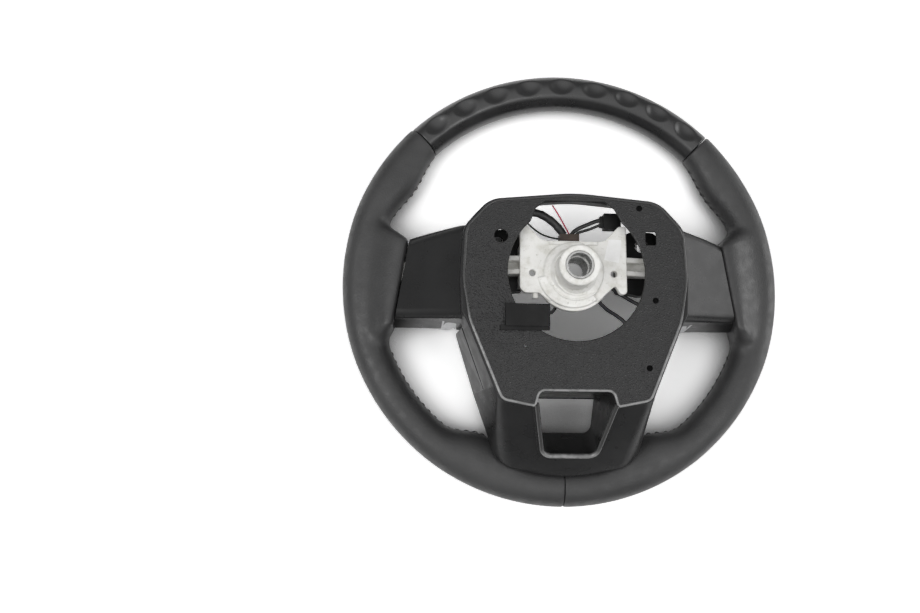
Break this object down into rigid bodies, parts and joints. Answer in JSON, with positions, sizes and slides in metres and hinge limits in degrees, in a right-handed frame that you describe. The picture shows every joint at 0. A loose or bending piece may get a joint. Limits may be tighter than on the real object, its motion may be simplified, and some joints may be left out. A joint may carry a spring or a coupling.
{
  "type": "car steering wheel",
  "caption": "Leather-rimmed car steering wheel with splined cast hub, side spokes with switches and a U-shaped lower spoke, without its airbag module.",
  "frame": {"origin": "centre of the hub bore's mouth, on the column side", "axes": "+Z along the hub bore towards the steering column, +Y towards twelve o'clock on the rim, +X to the right as seen from the column side"},
  "size_m": [0.38, 0.3793, 0.114],
  "materials": {
    "cast_alloy": "pale as-cast light metal, matt",
    "bush_steel": "machined",
    "core_steel": "black primed",
    "moulded_grip": "fine-grained soft plastic",
    "grip_leather": "smooth black leather",
    "cover_plastic": "coarse grain",
    "shell_plastic": "fine grain",
    "screw_black": "black coated",
    "black_plastic": "matt",
    "brown_plastic": "matt",
    "bezel_silver": "satin silver paint",
    "board_green": "lacquered board",
    "button_plastic": "satin",
    "spring_steel": "bright wire",
    "lead_black": "satin",
    "lead_red": "satin"
  },
  "bodies": {
    "wheel": {"armature": "cast_alloy", "hub_bush": "bush_steel", "rim_core": "core_steel", "upper_grip": "moulded_grip", "left_leather_grip": "grip_leather", "right_leather_grip": "grip_leather", "rear_cover": "cover_plastic", "rear_shell": "shell_plastic", "cover_screws": "screw_black", "wiring_clip": "black_plastic", "lower_spoke_trim": "shell_plastic", "left_switch_bezel": "bezel_silver", "right_switch_bezel": "bezel_silver", "left_switch_carrier": "black_plastic", "right_switch_carrier": "black_plastic", "left_switch_board": "board_green", "right_switch_board": "board_green", "left_catch_housing": "black_plastic", "right_catch_housing": "black_plastic", "left_catch_spring": "spring_steel", "right_catch_spring": "spring_steel", "hub_connector": "brown_plastic", "side_connector": "black_plastic", "left_harness_sleeve": "lead_black", "right_harness_lead": "lead_black", "right_thin_lead": "lead_black", "red_wire": "lead_red", "thin_wire": "lead_black", "lower_lead": "lead_black", "lower_side_lead": "lead_black", "clip_lead": "lead_black"},
    "left_rocker": {"left_rocker": "button_plastic"},
    "right_rocker": {"right_rocker": "button_plastic"},
    "left_upper_button": {"left_upper_button": "button_plastic"},
    "right_upper_button": {"right_upper_button": "button_plastic"},
    "left_lower_button": {"left_lower_button": "button_plastic"},
    "right_lower_button": {"right_lower_button": "button_plastic"}
  },
  "joints": [
    {"name": "left_rocker_tilt", "type": "hinge", "parent": "wheel", "child": "left_rocker", "pos_m": [-0.104, -0.004, -0.0897], "axis": [1, 0, 0], "range_deg": [-4, 4], "stiffness_Nm_per_rad": 0.3},
    {"name": "left_upper_button_press", "type": "slide", "parent": "wheel", "child": "left_upper_button", "axis": [0, 0, 1], "range_m": [0, 0.001], "stiffness_N_per_m": 600, "springref_m": -0.001},
    {"name": "left_lower_button_press", "type": "slide", "parent": "wheel", "child": "left_lower_button", "axis": [0, 0, 1], "range_m": [0, 0.001], "stiffness_N_per_m": 600, "springref_m": -0.001},
    {"name": "right_rocker_tilt", "type": "hinge", "parent": "wheel", "child": "right_rocker", "pos_m": [0.104, -0.004, -0.0897], "axis": [1, 0, 0], "range_deg": [-4, 4], "stiffness_Nm_per_rad": 0.3},
    {"name": "right_upper_button_press", "type": "slide", "parent": "wheel", "child": "right_upper_button", "axis": [0, 0, 1], "range_m": [0, 0.001], "stiffness_N_per_m": 600, "springref_m": -0.001},
    {"name": "right_lower_button_press", "type": "slide", "parent": "wheel", "child": "right_lower_button", "axis": [0, 0, 1], "range_m": [0, 0.001], "stiffness_N_per_m": 600, "springref_m": -0.001}
  ]
}
